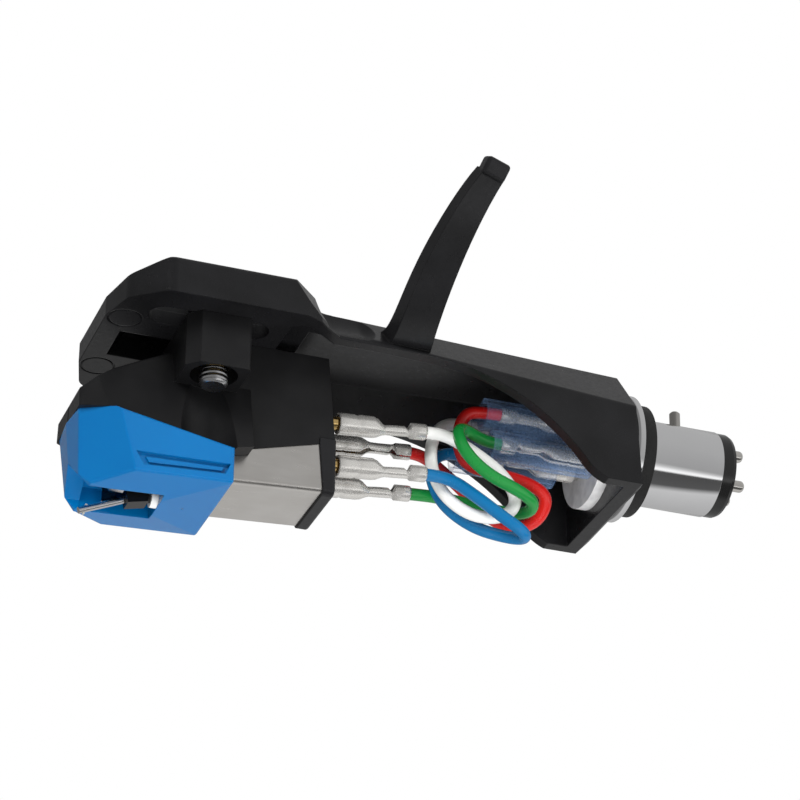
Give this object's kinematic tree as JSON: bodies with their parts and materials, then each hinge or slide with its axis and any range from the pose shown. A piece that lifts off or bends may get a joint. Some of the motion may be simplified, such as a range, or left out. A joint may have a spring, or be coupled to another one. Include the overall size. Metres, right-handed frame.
{
  "type": "phono cartridge on a headshell",
  "caption": "Bayonet headshell with a finger lift, carrying a wired moving-magnet cartridge whose blue stylus unit pulls off",
  "frame": {"origin": "on the bayonet plug's axis, in the plane of the rubber gasket's rear face, which the tonearm's collar closes on", "axes": "+X along the plug, towards the tonearm; +Z the top of the headshell, away from the record; the finger lift stands on the -Y side"},
  "size_m": [0.0641, 0.0315, 0.0314],
  "materials": {
    "cast_black": "satin black paint on a die casting",
    "plug_chrome": "polished",
    "gasket_rubber": "matt black",
    "pin_steel": "satin",
    "insulator_black": "gloss black",
    "cast_grey": "matt grey, as cast",
    "contact_nickel": "bright nickel",
    "body_black": "matt black moulding with gloss grooves",
    "insert_brass": "turned",
    "screw_steel": "bright zinc",
    "cap_black": "matt black",
    "terminal_gold": "gold plated",
    "shield_nickel": "satin nickel",
    "pole_chrome": "bright",
    "coil_copper": "enamelled copper wire",
    "blue_plastic": "gloss, slightly translucent blue",
    "bush_white": "white",
    "damper_rubber": "matt",
    "carrier_black": "matt black",
    "cantilever_aluminium": "bright drawn tube",
    "diamond": "clear diamond",
    "clip_nickel": "bright nickel with copper-coloured cut edges",
    "sleeve_clear": "clear tubing with a blue tint",
    "lead_white": "white insulation",
    "lead_red": "red insulation",
    "lead_blue": "blue insulation",
    "lead_green": "green insulation"
  },
  "bodies": {
    "headshell": {"headshell_body": "cast_black", "connector_tube": "plug_chrome", "rubber_gasket": "gasket_rubber", "guide_pin": "pin_steel", "plug_insulator": "insulator_black", "contact_block": "cast_grey", "contact_pins": "contact_nickel", "rear_clip_white": "clip_nickel", "sleeve_white": "sleeve_clear", "lead_white": "lead_white", "rear_clip_red": "clip_nickel", "sleeve_red": "sleeve_clear", "lead_red": "lead_red", "rear_clip_blue": "clip_nickel", "sleeve_blue": "sleeve_clear", "lead_blue": "lead_blue", "rear_clip_green": "clip_nickel", "sleeve_green": "sleeve_clear", "lead_green": "lead_green"},
    "cartridge": {"cartridge_body": "body_black", "threaded_inserts": "insert_brass", "mounting_screws": "screw_steel", "screw_washers": "screw_steel", "terminal_cap": "cap_black", "terminal_pins": "terminal_gold", "coil_shield": "shield_nickel", "centre_shield": "shield_nickel", "pole_left": "pole_chrome", "pole_right": "pole_chrome", "coil_left": "coil_copper", "coil_right": "coil_copper", "front_clip_white": "clip_nickel", "front_clip_red": "clip_nickel", "front_clip_blue": "clip_nickel", "front_clip_green": "clip_nickel"},
    "stylus_unit": {"stylus_housing": "blue_plastic", "joint_pipe": "pin_steel", "suspension_bush": "bush_white", "damper": "damper_rubber"},
    "cantilever": {"magnet_carrier": "carrier_black", "magnets": "contact_nickel", "cantilever": "cantilever_aluminium", "stylus_tip": "diamond"}
  },
  "joints": [
    {"name": "overhang_slide", "type": "slide", "parent": "headshell", "child": "cartridge", "axis": [1, 0, 0], "range_m": [-0.0045, 0.0033], "deforming": ["lead_white", "lead_red", "lead_blue", "lead_green"]},
    {"name": "stylus_removal", "type": "slide", "parent": "cartridge", "child": "stylus_unit", "axis": [-0.9438, 0, -0.3304], "range_m": [0, 0.015]},
    {"name": "vertical_compliance", "type": "hinge", "parent": "stylus_unit", "child": "cantilever", "pos_m": [-0.0463, 0, -0.012], "axis": [0, 1, 0], "range_deg": [-2, 3], "stiffness_Nm_per_rad": 0.003}
  ]
}
